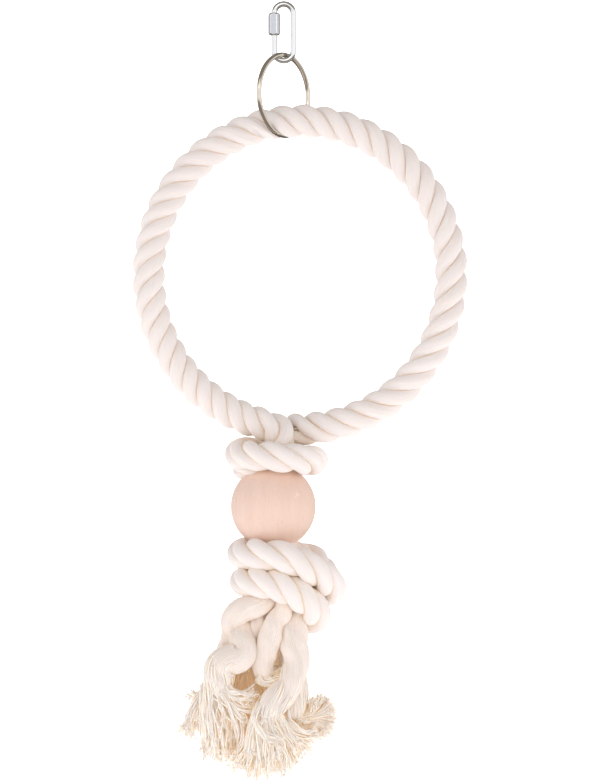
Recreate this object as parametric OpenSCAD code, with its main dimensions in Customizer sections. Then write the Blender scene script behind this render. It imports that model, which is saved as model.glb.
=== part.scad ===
// Rope ring bird toy: a quick link, a welded O-ring, a laid cotton rope ring on
// a steel hoop, a wrapped collar, a wooden ball, a double-turn knot and the six
// unlaid strand ends that hang below it.
// Frame: +Z up, front of the ring faces -Y, origin on the inside of the quick
// link's top bow, where it hangs. Millimetres.

/* [Quick link] */
// Wire diameter of the quick link
link_wire = 3.5; // [3.3:0.1:3.6]
// Clear length inside the quick link, bow to bow
link_inside_len = 30.2; // [30:0.1:30.6]
// Clear width inside the quick link, leg to leg
link_inside_w = 7.8; // [7.6:0.1:8.2]
// Width across the flats of the sleeve nut
nut_af = 6.5; // [6:0.1:7]
// Length of the sleeve nut
nut_len = 13.3; // [12.8:0.1:13.6]

/* [O-ring] */
// Wire diameter of the welded O-ring
oring_wire = 3; // [2.8:0.1:3]
// Outside diameter of the welded O-ring
oring_od = 51; // [50.6:0.1:51.2]
// Turn of the O-ring about the vertical, lying along a groove of the rope
oring_yaw = 52.8; // [50:0.2:55]

/* [Rope ring] */
// Radius of the ring at the middle of the rope
ring_r = 90.8; // [90.4:0.1:91]
// Diameter of the circle round the three strands
rope_d = 19.8; // [19:0.1:20]
// Wire diameter of the hoop inside the rope
hoop_wire = 3; // [2.5:0.1:3]
// Ring angle that one strand takes for a full turn round the rope
lay_deg = 24; // [22:0.5:26]

/* [Ball and knots] */
// Diameter of the wooden ball
ball_d = 50.5; // [49.5:0.1:50.8]
// Diameter of the bore through the ball
ball_bore = 24; // [23.6:0.1:25]
// Thickness of the rope in the collar turn
collar_d = 18; // [17:0.1:18]
// Thickness of the rope in the two knot turns
knot_d = 15; // [14:0.1:15]
// Thickness of a strand end where it hangs free
tail_d = 8.8; // [8:0.1:9]

/* [Hidden] */
$fn = 64;

cotton = [0.93, 0.88, 0.82];
zinc = [0.80, 0.81, 0.82];
nickel = [0.66, 0.62, 0.56];
steel = [0.55, 0.50, 0.44];
beech = [0.91, 0.76, 0.62];

// quick link
leg_x = (link_inside_w + link_wire) / 2;
bow_top_z = link_wire / 2 - leg_x;
bow_low_z = -link_inside_len - link_wire / 2 + leg_x;
gate_hi_z = bow_top_z - 2.7;      // end of the short stub under the top bow
gate_lo_z = gate_hi_z - 4.9;      // end of the long leg, below the gate
nut_top_z = bow_top_z + 0.3;
thread_pitch = 0.6;
nut_bore_r = link_wire / 2 + 0.06;

// O-ring, hanging in the lower bow
oring_r = (oring_od - oring_wire) / 2;
oring_top_z = -link_inside_len - link_wire / 2 + (link_wire + oring_wire) / 2 + 0.15;
oring_z = oring_top_z - oring_r;

// rope ring
ring_x = 9.64;
ring_z = -159.4;
env_r = rope_d / 2;
strand_in = 2.5;
strand_half = 58;                 // half of the angle that one strand fills
left_end = -169.5;                // ring angle where the left end turns down
right_end = 172.5;                // ring angle where the right end turns down
station_n = 114;

// ball and knots
ball_x = -6.25;
ball_z = -297.2;
collar_r = 21.3;
collar_at = [-4.6, 0, -267.9];
knot_up_r = 26.5;
knot_up_at = [2.2, 0, -335];
knot_low_r = 24;
knot_low_at = [-0.2, 0, -353.6];
ends_top_z = -262.5;
ends_bot_z = -338;

// Routes of the two ends as they turn down between the ring and the collar
neck_pts_left = [[-6, -8, -251], [-2, -8, -251.5], [1, -8, -253.5],
                 [2, -7.2, -256.5], [0.5, -6, -260]];
neck_pts_right = [[20.5, 7.6, -251], [15, 7.8, -251.5], [9, 7.8, -252.5],
                  [4, 7, -255.5], [1, 6, -259.5]];

// Routes of the six strand ends below the knot
tail_pts_1 = [[-8.4, -3.7, -339], [-8.6, -4.8, -346], [-8.5, -7.5, -352.5],
              [-14.5, -10.5, -356.5], [-22, -10.5, -358], [-29.5, -8.5, -363.5],
              [-33.5, -5, -372.5], [-37.5, 0.5, -384], [-40, 2.5, -395.5],
              [-43.5, 2.5, -404], [-46, 2, -408.5]];
tail_pts_2 = [[-8.4, 3.7, -339], [-9, 4, -346], [-11.5, 3.5, -354],
              [-18, 1.5, -360.5], [-23.5, -2, -366], [-24, -8, -374],
              [-24.5, -12, -381], [-28.5, -13.5, -385], [-34, -13.5, -387],
              [-38, -12.5, -391.5], [-39.5, -11.5, -399], [-40.5, -10.5, -407]];
tail_pts_3 = [[-2, -7.4, -339], [-1.5, -8.2, -346], [0, -10, -352.5],
              [-1, -11.8, -357.5], [-5, -12.5, -365.5], [-9, -12.5, -375],
              [-11, -12, -383], [-12, -10.5, -390.5], [-10, -7, -395.5],
              [-5, -2.5, -397.5], [0, 2.5, -397.5], [3.5, 6, -401.5]];
tail_pts_4 = [[4.4, -3.7, -339], [6, -4.2, -346], [8, -5, -353.5],
              [8.2, -7.2, -360.5], [7.5, -10.5, -369], [7, -13.5, -379.5],
              [8, -15, -388.5], [5.5, -16, -397.5], [0, -17, -406.5],
              [-6.5, -17.5, -414], [-10.5, -17.5, -420.5]];
tail_pts_5 = [[4.4, 3.7, -339], [5.5, 4.5, -346], [7, 5, -354],
              [9, 2.5, -367.5], [8.5, -2, -379.5], [8, -3.5, -388.5],
              [8, -5, -397.5], [8, -7.5, -406.5], [6.5, -9.5, -415], [4.5, -10.5, -422]];
tail_pts_6 = [[-2, 7.4, -339], [-2.5, 9, -346], [-3.5, 10.5, -354],
              [-11.5, 10.5, -363], [-16.5, 8.5, -372], [-19, 7, -381.5],
              [-20.5, 7, -391], [-20.5, 7, -400.5]];

// One point on the ring rope: ring angle a from the top, clockwise as seen from
// the front, radius q and turn w round the rope's own axis (0 points outward)
function ring_pt(a, q, w) =
    [ring_x + (ring_r + q * cos(w)) * sin(a),
     -q * sin(w),
     ring_z + (ring_r + q * cos(w)) * cos(a)];

// Outside of a strand, lower towards the groove on each side
function strand_out(t) = env_r * (1 - 0.2 * pow(t / 60, 2));

// Section of one strand as [radius, turn] pairs
strand_sec = [for (t = [-strand_half, -38, -13, 13, 38, strand_half]) [strand_out(t), t],
              [strand_in, strand_half], [strand_in, 0], [strand_in, -strand_half]];

function unit(v) = v / norm(v);

// Faces of a tube of m rings with n points each, closed at both ends
function tube_faces(m, n) = concat(
    [[for (j = [0:n - 1]) j]],
    [for (i = [0:m - 2], j = [0:n - 1])
        [i * n + j, (i + 1) * n + j, (i + 1) * n + (j + 1) % n]],
    [for (i = [0:m - 2], j = [0:n - 1])
        [i * n + j, (i + 1) * n + (j + 1) % n, i * n + (j + 1) % n]],
    [[for (j = [n - 1:-1:0]) (m - 1) * n + j]]);

// A tube through the given points, its radius running through r0, r1 and r2
module tube_along(p, r0, r1, r2, n = 8) {
    m = len(p);
    pts = [for (i = [0:m - 1])
        let (t = unit(p[min(i + 1, m - 1)] - p[max(i - 1, 0)]),
             u = unit(cross(t, [0, 1, 0])),
             v = cross(t, u),
             s = i / (m - 1),
             r = s < 0.5 ? r0 + (r1 - r0) * 2 * s : r1 + (r2 - r1) * (2 * s - 1))
        for (j = [0:n - 1]) p[i] + r * (cos(j * 360 / n) * u + sin(j * 360 / n) * v)];
    polyhedron(points = pts, faces = tube_faces(m, n), convexity = 8);
}

module torus(r, wire) {
    rotate_extrude() translate([r, 0]) circle(d = wire);
}

module half_bow(r, wire, up) {
    rotate([90, 0, 0])
        rotate_extrude(angle = up * 180) translate([r, 0]) circle(d = wire);
}

// Threaded rod drawn as a stack of ring grooves, from z = 0 upward
module thread(d, len) {
    steps = floor(len / thread_pitch);
    rotate_extrude()
        polygon(concat([[0, 0]],
            [for (i = [0:steps - 1]) each [[d / 2 - 0.28, i * thread_pitch],
                                           [d / 2 - 0.02, (i + 0.5) * thread_pitch]]],
            [[d / 2 - 0.28, steps * thread_pitch], [d / 2 - 0.28, len], [0, len]]));
}

// Solid that points from p to q, built along its own +Z
module along(p, q) {
    d = q - p;
    translate(p) rotate([0, acos(d[2] / norm(d)), atan2(d[1], d[0])]) children();
}

// Frayed end: narrow at the whipped root, wide and rounded at the tips
module frayed(p, q, r0, r1) {
    len = norm(q - p);
    along(p, q) rotate_extrude()
        polygon([[0, 0], [r0, 0], [r0 + (r1 - r0) * 0.55, len * 0.4],
                 [r1, len * 0.8], [r1 * 0.8, len * 0.95], [r1 * 0.4, len], [0, len]]);
}

module quick_link_body() {
    color(zinc) {
        translate([0, 0, bow_top_z]) half_bow(leg_x, link_wire, 1);
        translate([0, 0, bow_low_z]) half_bow(leg_x, link_wire, -1);
        translate([leg_x, 0, bow_low_z]) cylinder(d = link_wire, h = bow_top_z - bow_low_z);
        // long leg below the gate, with its thread for the nut
        translate([-leg_x, 0, bow_low_z]) cylinder(d = link_wire, h = 5);
        translate([-leg_x, 0, bow_low_z + 5]) thread(link_wire, gate_lo_z - bow_low_z - 5);
        // short stub above the gate
        translate([-leg_x, 0, gate_hi_z]) thread(link_wire, bow_top_z - gate_hi_z);
    }
}

module quick_link_nut() {
    color(zinc) translate([-leg_x, 0, nut_top_z - nut_len]) rotate(22)
        difference() {
            intersection() {
                cylinder(d = nut_af / cos(30), h = nut_len, $fn = 6);
                rotate_extrude()
                    polygon([[0, 0], [nut_af * 0.42, 0], [nut_af * 0.6, nut_af * 0.14],
                             [nut_af * 0.6, nut_len - nut_af * 0.28],
                             [nut_af * 0.36, nut_len], [0, nut_len]]);
            }
            translate([0, 0, -1]) cylinder(r = nut_bore_r, h = nut_len + 2);
        }
}

module o_ring_shape(wire) {
    translate([0, 0, oring_z]) rotate([0, 0, oring_yaw]) rotate([90, 0, 0])
        torus(oring_r, wire);
}

module o_ring() {
    color(nickel) o_ring_shape(oring_wire);
}

module hoop_core() {
    color(steel) translate([ring_x, 0, ring_z]) rotate([90, 0, 0]) torus(ring_r, hoop_wire);
}

// One of the three laid strands, with the seat that the O-ring presses into it
module ring_strand(k) {
    n = len(strand_sec);
    pts = [for (i = [0:station_n])
        let (a = left_end + (right_end - left_end) * i / station_n,
             w = 30 + (a - 3) * 360 / lay_deg + 120 * k)
        for (j = [0:n - 1]) ring_pt(a, strand_sec[j][0], w + strand_sec[j][1])];
    color(cotton) difference() {
        polyhedron(points = pts, faces = tube_faces(station_n + 1, n), convexity = 30);
        o_ring_shape(oring_wire + 2.4);
    }
}

module ring_strand_1() { ring_strand(0); }
module ring_strand_2() { ring_strand(1); }
module ring_strand_3() { ring_strand(2); }

module neck_left() { color(cotton) tube_along(neck_pts_left, 5.4, 5.4, 5.0, 10); }
module neck_right() { color(cotton) tube_along(neck_pts_right, 5.4, 5.4, 5.0, 10); }

module collar_turn() {
    color(cotton) translate(collar_at) rotate([0, 6, 0]) torus(collar_r, collar_d);
}

// The two rope ends side by side: through the collar, the ball and the knot
module rope_end(side) {
    color(cotton) intersection() {
        union() {
            translate([ball_x, 0, -276]) cylinder(r = 10, h = ends_top_z + 276);
            translate([ball_x, 0, -318]) cylinder(r = ball_bore / 2 - 0.5, h = 42);
            translate([ball_x + 3.5, 0, ends_bot_z]) cylinder(r = 8, h = -318 - ends_bot_z);
        }
        translate([-40, side > 0 ? 0.3 : -40.3, -345]) cube([80, 40, 100]);
    }
}

module rope_end_left() { rope_end(-1); }
module rope_end_right() { rope_end(1); }

module wooden_ball() {
    color(beech) translate([ball_x, 0, ball_z]) difference() {
        sphere(d = ball_d);
        translate([0, 0, -ball_d]) cylinder(d = ball_bore, h = 2 * ball_d);
    }
}

module knot_upper_turn() {
    color(cotton) translate(knot_up_at) rotate([-9, 16, 0]) torus(knot_up_r, knot_d);
}

module knot_lower_turn() {
    color(cotton) translate(knot_low_at) rotate([-9, 25, 0]) torus(knot_low_r, knot_d);
}

module tail(p) { color(cotton) tube_along(p, 3.6, tail_d / 2 - 0.2, tail_d / 2); }

module tail_1() { tail(tail_pts_1); }
module tail_2() { tail(tail_pts_2); }
module tail_3() { tail(tail_pts_3); }
module tail_4() { tail(tail_pts_4); }
module tail_5() { tail(tail_pts_5); }
module tail_6() { tail(tail_pts_6); }

module fringe_1() { color(cotton) frayed([-46.5, 2, -409.7], [-54, 3, -432], 4.4, 6.5); }
module fringe_2() { color(cotton) frayed([-40.7, -10.3, -408.4], [-36, -6, -449], 4.4, 11.5); }
module fringe_3() { color(cotton) frayed([4.2, 6.8, -402.6], [3, 11, -440], 4.4, 9); }
module fringe_4() { color(cotton) frayed([-11.3, -17.5, -421.8], [-7, -16, -457], 4.4, 13.5); }
module fringe_5() { color(cotton) frayed([1.5, -10.8, -426.6], [31.5, -6, -424], 4.4, 9.5); }
module fringe_6() { color(cotton) frayed([-20.5, 7, -401.9], [-22.5, 10, -439], 4.4, 8); }

quick_link_body();
quick_link_nut();
o_ring();
hoop_core();
ring_strand_1();
ring_strand_2();
ring_strand_3();
neck_left();
neck_right();
collar_turn();
rope_end_left();
rope_end_right();
wooden_ball();
knot_upper_turn();
knot_lower_turn();
tail_1();
tail_2();
tail_3();
tail_4();
tail_5();
tail_6();
fringe_1();
fringe_2();
fringe_3();
fringe_4();
fringe_5();
fringe_6();
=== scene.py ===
import math

import bpy
import numpy as np
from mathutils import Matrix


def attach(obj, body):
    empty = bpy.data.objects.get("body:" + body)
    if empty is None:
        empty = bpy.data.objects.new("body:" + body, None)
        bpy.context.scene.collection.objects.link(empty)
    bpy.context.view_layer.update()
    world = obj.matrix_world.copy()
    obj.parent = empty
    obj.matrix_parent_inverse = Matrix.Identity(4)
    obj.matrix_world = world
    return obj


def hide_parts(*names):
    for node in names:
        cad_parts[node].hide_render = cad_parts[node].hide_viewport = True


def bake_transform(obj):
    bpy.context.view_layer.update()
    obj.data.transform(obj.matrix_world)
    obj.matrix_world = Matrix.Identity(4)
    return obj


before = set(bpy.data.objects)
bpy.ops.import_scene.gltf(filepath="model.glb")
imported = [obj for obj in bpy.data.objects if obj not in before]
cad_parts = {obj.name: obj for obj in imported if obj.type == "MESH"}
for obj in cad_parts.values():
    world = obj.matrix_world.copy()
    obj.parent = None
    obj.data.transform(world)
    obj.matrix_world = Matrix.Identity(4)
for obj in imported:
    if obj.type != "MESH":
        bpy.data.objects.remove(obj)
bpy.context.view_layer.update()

MM = 0.001
TAU = 2 * math.pi


# ---------------------------------------------------------------- helpers
def at(px, py, y=0.0):
    """A point in mm from its place in the 600 x 780 frame and its depth."""
    return [(px - 283.8) * 0.595, y, -(py - 6.95) * 0.595]


def unit(v):
    return v / np.maximum(np.linalg.norm(v, axis=-1, keepdims=True), 1e-12)


def curve(points, step):
    """A smooth line through the points, evenly spaced, and each sample's place along the point list."""
    p = np.asarray(points, float)
    n = len(p)
    h = np.maximum(np.linalg.norm(np.diff(p, axis=0), axis=1), 1e-6)
    d = np.diff(p, axis=0) / h[:, None]
    m = np.zeros_like(p)
    m[1:-1] = (d[1:] * h[:-1, None] + d[:-1] * h[1:, None]) / (h[:-1] + h[1:])[:, None]
    m[0], m[-1] = 1.5 * d[0] - 0.5 * m[1], 1.5 * d[-1] - 0.5 * m[-2]
    q, u = [], []
    t = np.linspace(0, 1, 24, endpoint=False)[:, None]
    for i in range(n - 1):
        q.append((2 * t**3 - 3 * t**2 + 1) * p[i] + (t**3 - 2 * t**2 + t) * h[i] * m[i]
                 + (3 * t**2 - 2 * t**3) * p[i + 1] + (t**3 - t**2) * h[i] * m[i + 1])
        u.append(i + t[:, 0])
    q, u = np.vstack(q + [p[-1:]]), np.concatenate(u + [[n - 1]])
    s = np.concatenate([[0], np.cumsum(np.linalg.norm(np.diff(q, axis=0), axis=1))])
    g = np.linspace(0, s[-1], max(3, int(round(s[-1] / step)) + 1))
    return np.stack([np.interp(g, s, q[:, k]) for k in range(3)], 1), np.interp(g, s, u), g


def tangents(c):
    return unit(np.gradient(c, axis=0))


def carry(c, first):
    """Frames that turn as little as possible along a line: tangent, normal, binormal."""
    t = tangents(c)
    n = np.zeros_like(c)
    n[0] = unit(first - np.dot(first, t[0]) * t[0])
    for i in range(len(c) - 1):
        v = c[i + 1] - c[i]
        k = max(v @ v, 1e-12)
        r = n[i] - 2 / k * (v @ n[i]) * v
        tl = t[i] - 2 / k * (v @ t[i]) * v
        w = t[i + 1] - tl
        k = w @ w
        n[i + 1] = r if k < 1e-14 else r - 2 / k * (w @ r) * w
    n = unit(n)
    return t, n, np.cross(t, n)


def wave(s, rng, size, length, parts=4):
    """Slow random wobble along s."""
    out = np.zeros_like(s)
    for _ in range(parts):
        out += np.sin(TAU * s / (length * rng.uniform(0.6, 1.7)) + rng.uniform(0, TAU)) * rng.uniform(0.5, 1)
    return size * out / parts


def new_mesh(name, verts, quads, tris=None, uv=None, values=None, smooth=True):
    """A mesh object from arrays in mm. quads and tris index verts, uv is per quad corner, values are named floats per vertex."""
    quads = np.zeros((0, 4), int) if quads is None else np.asarray(quads, int)
    tris = np.zeros((0, 3), int) if tris is None else np.asarray(tris, int)
    me = bpy.data.meshes.new(name)
    me.vertices.add(len(verts))
    me.vertices.foreach_set("co", (np.asarray(verts, float) * MM).astype(np.float32).ravel())
    loops = np.concatenate([quads.ravel(), tris.ravel()])
    me.loops.add(len(loops))
    me.loops.foreach_set("vertex_index", loops.astype(np.int32))
    count = len(quads) + len(tris)
    me.polygons.add(count)
    starts = np.concatenate([np.arange(len(quads)) * 4, len(quads) * 4 + np.arange(len(tris)) * 3])
    me.polygons.foreach_set("loop_start", starts.astype(np.int32))
    me.polygons.foreach_set("use_smooth", np.full(count, smooth))
    if uv is not None:
        layer = me.uv_layers.new(name="yarn")
        flat = np.zeros((len(loops), 2), np.float32)
        flat[:len(quads) * 4] = np.asarray(uv, np.float32).reshape(-1, 2)
        layer.data.foreach_set("uv", flat.ravel())
    for key, v in (values or {}).items():
        a = me.attributes.new(key, "FLOAT", "POINT")
        a.data.foreach_set("value", np.asarray(v, np.float32).ravel())
    me.update(calc_edges=True)
    me.validate()
    ob = bpy.data.objects.new(name, me)
    bpy.context.scene.collection.objects.link(ob)
    return ob


def grid_faces(rows, cols, base=0, wrap=True):
    """Quads of a rows x cols grid of vertices, closed round the columns, facing out for columns that turn right-handed about the row direction."""
    i, j = np.meshgrid(np.arange(rows - 1), np.arange(cols if wrap else cols - 1), indexing="ij")
    k = (j + 1) % cols
    return np.stack([i * cols + j, i * cols + k, (i + 1) * cols + k, (i + 1) * cols + j], -1).reshape(-1, 4) + base


def caps(rows, cols, base, a, b):
    """Triangles that close both ends of a tube to its end points a and b."""
    j = np.arange(cols)
    k = (j + 1) % cols
    last = base + (rows - 1) * cols
    return np.vstack([np.stack([base + k, base + j, np.full(cols, a)], 1),
                      np.stack([last + j, last + k, np.full(cols, b)], 1)])


# ---------------------------------------------------------------- materials
def nodes_of(name):
    m = bpy.data.materials.new(name)
    m.use_nodes = True
    t = m.node_tree
    return m, t, t.nodes, t.links, t.nodes["Principled BSDF"]


def mix(t, kind, fac, a, b):
    n = t.nodes.new("ShaderNodeMix")
    n.data_type = "RGBA"
    n.blend_type = kind
    for key, val in ((0, fac), (6, a), (7, b)):
        if hasattr(val, "links"):
            t.links.new(val, n.inputs[key])
        elif key == 0:
            n.inputs[0].default_value = val
        else:
            n.inputs[key].default_value = (*val, 1)
    return n.outputs[2]


def math_node(t, op, a, b=None, c=None, clamp=False):
    n = t.nodes.new("ShaderNodeMath")
    n.operation = op
    n.use_clamp = clamp
    for i, val in enumerate((a, b, c)):
        if val is None:
            continue
        if hasattr(val, "links"):
            t.links.new(val, n.inputs[i])
        else:
            n.inputs[i].default_value = val
    return n.outputs[0]


def value(t, name):
    n = t.nodes.new("ShaderNodeAttribute")
    n.attribute_name = name
    return n.outputs["Fac"]


def noise(t, vec, scale, detail=3.0, rough=0.55, distort=0.0):
    n = t.nodes.new("ShaderNodeTexNoise")
    n.inputs["Scale"].default_value = scale
    n.inputs["Detail"].default_value = detail
    n.inputs["Roughness"].default_value = rough
    n.inputs["Distortion"].default_value = distort
    if vec is not None:
        t.links.new(vec, n.inputs["Vector"])
    return n.outputs["Fac"]


def mapped(t, vec, scale, offset=(0, 0, 0)):
    n = t.nodes.new("ShaderNodeMapping")
    n.inputs["Scale"].default_value = scale
    n.inputs["Location"].default_value = offset
    t.links.new(vec, n.inputs["Vector"])
    return n.outputs["Vector"]


def object_coords(t):
    return t.nodes.new("ShaderNodeTexCoord").outputs["Object"]


def bump(t, height, strength, distance, normal=None):
    n = t.nodes.new("ShaderNodeBump")
    n.inputs["Strength"].default_value = strength
    n.inputs["Distance"].default_value = distance
    t.links.new(height, n.inputs["Height"])
    if normal is not None:
        t.links.new(normal, n.inputs["Normal"])
    return n.outputs["Normal"]


def ramp(t, fac, stops):
    n = t.nodes.new("ShaderNodeValToRGB")
    e = n.color_ramp.elements
    while len(e) < len(stops):
        e.new(0.5)
    for el, (pos, col) in zip(e, stops):
        el.position = pos
        el.color = (*col, 1) if len(col) == 3 else col
    t.links.new(fac, n.inputs["Fac"])
    return n.outputs["Color"]


def cotton(name, pale, deep, streak, fibre, soft, through=0.0, warm=(1.07, 1.01, 0.88)):
    """Undyed cotton: pale where open, with yarn streaks and fine fibres, and with painted shade: a painted warm lift,
    then tan, where strands and yarns meet or lie deep among other cotton.
    """
    m, t, nodes, links, p = nodes_of(name)
    uv = nodes.new("ShaderNodeUVMap")
    uv.uv_map = "yarn"
    along = mapped(t, uv.outputs["UV"], (3.0, 0.35, 1.0))
    fine = noise(t, along, 2.2, 4.0, 0.62)
    blot = noise(t, object_coords(t), 55.0, 3.0, 0.5)
    tone = value(t, "tone")
    base = mix(t, "MIX", math_node(t, "MULTIPLY", blot, 0.35), pale, tuple(c * k for c, k in zip(pale, (0.985, 0.965, 0.93))))
    base = mix(t, "MULTIPLY", math_node(t, "MULTIPLY", tone, streak), base, (0.90, 0.83, 0.72))
    base = mix(t, "MULTIPLY", math_node(t, "MULTIPLY", fine, 0.22), base, (0.93, 0.88, 0.80))
    # painted shade: the depth attribute first lifts the colour to a warmer, lighter pale (painted warm light), then
    # turns it to the deep tan colour (painted shade) in creases and deep among other cotton
    painted_shade_amount = value(t, "depth")
    base = mix(t, "MIX", math_node(t, "MULTIPLY", painted_shade_amount, 2.5, clamp=True), base, tuple(c * k for c, k in zip(pale, warm)))
    base = mix(t, "MIX", math_node(t, "MULTIPLY", math_node(t, "POWER", painted_shade_amount, 1.6), 0.92, clamp=True), base, deep)
    links.new(base, p.inputs["Base Color"])
    links.new(math_node(t, "MULTIPLY_ADD", fine, 0.12, 0.82), p.inputs["Roughness"])
    p.inputs["Specular IOR Level"].default_value = 0.18
    p.inputs["Subsurface Weight"].default_value = soft
    p.inputs["Subsurface Radius"].default_value = (1.0, 0.66, 0.42)
    p.inputs["Subsurface Scale"].default_value = 0.0022
    # painted light: a faint warm glow that lifts the shade, standing in for light scattered inside the cotton
    p.inputs["Emission Color"].default_value = (1.0, 0.82, 0.64, 1)
    p.inputs["Emission Strength"].default_value = through
    p.inputs["Sheen Weight"].default_value = 0.22
    p.inputs["Sheen Roughness"].default_value = 0.55
    p.inputs["Sheen Tint"].default_value = (1.0, 0.96, 0.92, 1)
    links.new(bump(t, fine, fibre, 0.0004), p.inputs["Normal"])
    return m


def metal(name, colour, rough, scratch, stain):
    m, t, nodes, links, p = nodes_of(name)
    oc = object_coords(t)
    cloud = noise(t, oc, 160.0, 3.0, 0.5)
    fine = noise(t, mapped(t, oc, (1.0, 1.0, 0.18)), 2600.0, 2.0, 0.5)
    links.new(mix(t, "MIX", math_node(t, "MULTIPLY", cloud, stain), colour, tuple(c * k for c, k in zip(colour, (0.86, 0.82, 0.76)))), p.inputs["Base Color"])
    p.inputs["Metallic"].default_value = 1.0
    links.new(math_node(t, "ADD", math_node(t, "MULTIPLY_ADD", cloud, 0.10, rough - 0.05), math_node(t, "MULTIPLY", fine, 0.06)), p.inputs["Roughness"])
    links.new(bump(t, fine, scratch, 0.00004), p.inputs["Normal"])
    return m


def beech(name):
    m, t, nodes, links, p = nodes_of(name)
    oc = object_coords(t)
    bands = noise(t, mapped(t, oc, (170.0, 105.0, 2.6)), 1.0, 3.0, 0.5, 0.2)
    lines = noise(t, mapped(t, oc, (520.0, 430.0, 9.0)), 1.0, 4.0, 0.6, 0.2)
    flecks = noise(t, mapped(t, oc, (1500.0, 1300.0, 75.0), (3.1, 1.7, 0.4)), 1.0, 1.0, 0.4)
    fleck = math_node(t, "MULTIPLY", math_node(t, "SUBTRACT", flecks, 0.62, clamp=True), 5.0, clamp=True)
    scuff = noise(t, mapped(t, oc, (210.0, 210.0, 120.0), (0.7, 0.2, 2.2)), 1.0, 2.0, 0.5, 1.4)
    scuff = math_node(t, "MULTIPLY", math_node(t, "SUBTRACT", scuff, 0.655, clamp=True), 9.0, clamp=True)
    col = ramp(t, bands, [(0.28, (0.784, 0.590, 0.511)), (0.5, (0.80, 0.612, 0.541)), (0.72, (0.816, 0.637, 0.572))])
    col = mix(t, "MULTIPLY", math_node(t, "MULTIPLY", lines, 0.44), col, (0.90, 0.79, 0.70))
    xyz = nodes.new("ShaderNodeSeparateXYZ")
    links.new(oc, xyz.inputs[0])
    col = mix(t, "MULTIPLY", math_node(t, "MULTIPLY_ADD", xyz.outputs["X"], 20.0, 0.62, clamp=True), col, (0.98, 0.955, 0.925))
    col = mix(t, "MULTIPLY", math_node(t, "MULTIPLY", fleck, 0.38), col, (0.76, 0.56, 0.42))
    col = mix(t, "MIX", math_node(t, "MULTIPLY", scuff, 0.30), col, (0.95, 0.84, 0.76))
    # painted light: lighter and warmer where the depth attribute is high, at the ball's top and bottom and in its bore,
    # standing in for warm bounced light in the shade of the collar and knot
    col = mix(t, "MIX", math_node(t, "MULTIPLY", value(t, "depth"), 0.85), col, (1.0, 0.755, 0.58))
    links.new(col, p.inputs["Base Color"])
    links.new(math_node(t, "MULTIPLY_ADD", lines, 0.22, 0.40), p.inputs["Roughness"])
    p.inputs["Specular IOR Level"].default_value = 0.35
    # painted light: a faint warm glow from the bare wood, which lifts its shade under the collar
    p.inputs["Emission Color"].default_value = (1.0, 0.74, 0.58, 1)
    p.inputs["Emission Strength"].default_value = 0.045
    h = math_node(t, "SUBTRACT", lines, math_node(t, "MULTIPLY", fleck, 0.8))
    links.new(bump(t, h, 0.22, 0.00018), p.inputs["Normal"])
    return m


# the second colour of each cotton is its painted shade colour (tan in creases and deep among cotton), the last number
# the strength of a painted warm glow, and YARN's three numbers its painted warm lift
ROPE = cotton("cotton_rope", (0.812, 0.762, 0.774), (0.86, 0.67, 0.49), 0.12, 0.16, 0.25, 0.03)
YARN = cotton("cotton_yarn", (0.78, 0.714, 0.70), (0.82, 0.60, 0.39), 0.28, 0.36, 0.30, 0.05, (1.12, 1.11, 1.08))
FRAY = cotton("cotton_fray", (0.92, 0.835, 0.775), (0.90, 0.60, 0.30), 0.24, 0.20, 0.6, 0.09)
ZINC = metal("zinc_steel", (0.84, 0.843, 0.855), 0.15, 0.10, 0.30)
NICKEL = metal("nickel_ring", (0.74, 0.675, 0.595), 0.12, 0.06, 0.30)
HOOP = metal("hoop_steel", (0.52, 0.45, 0.36), 0.32, 0.20, 0.6)
WOOD = beech("beech_wood")


def place(ob, body, slot, mat, *nodes):
    ob.data.materials.append(mat)
    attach(ob, body)
    if nodes:
        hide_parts(*nodes)
    return ob


# ---------------------------------------------------------------- camera, floor, light
scene = bpy.context.scene
scene.view_settings.view_transform = "Standard"
cam_data = bpy.data.cameras.new("camera")
cam_data.sensor_fit = "VERTICAL"
cam_data.sensor_height = 36.0
cam_data.lens = 36.0 * 2.0 / 0.4641
cam_data.clip_end = 20
cam = bpy.data.objects.new("camera", cam_data)
cam.location = (0.00964, -2.0, -0.22791)
cam.rotation_euler = (math.radians(90), 0, 0)
scene.collection.objects.link(cam)
scene.camera = cam

prof = [(-0.55, -0.62)] + [(3.3 + 0.7 * math.sin(a), 0.08 - 0.7 * math.cos(a)) for a in np.linspace(0, math.pi / 2, 14)] + [(4.0, 3.2)]
sweep_v = np.array([[x * 1000, y * 1000, z * 1000] for y, z in prof for x in (-4.0, 4.0)])
sweep = new_mesh("studio_sweep", sweep_v, [[2 * i, 2 * i + 1, 2 * i + 3, 2 * i + 2] for i in range(len(prof) - 1)])
sm, st, sn, sl, sp = nodes_of("studio_white")
sl.new(mix(st, "MIX", math_node(st, "MULTIPLY", noise(st, object_coords(st), 3.0), 0.15), (0.93, 0.93, 0.93), (0.90, 0.90, 0.90)), sp.inputs["Base Color"])
sp.inputs["Roughness"].default_value = 0.9
sp.inputs["Emission Color"].default_value = (1, 1, 1, 1)
sp.inputs["Emission Strength"].default_value = 0.72
sweep.data.materials.append(sm)
sweep.visible_glossy = False

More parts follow.
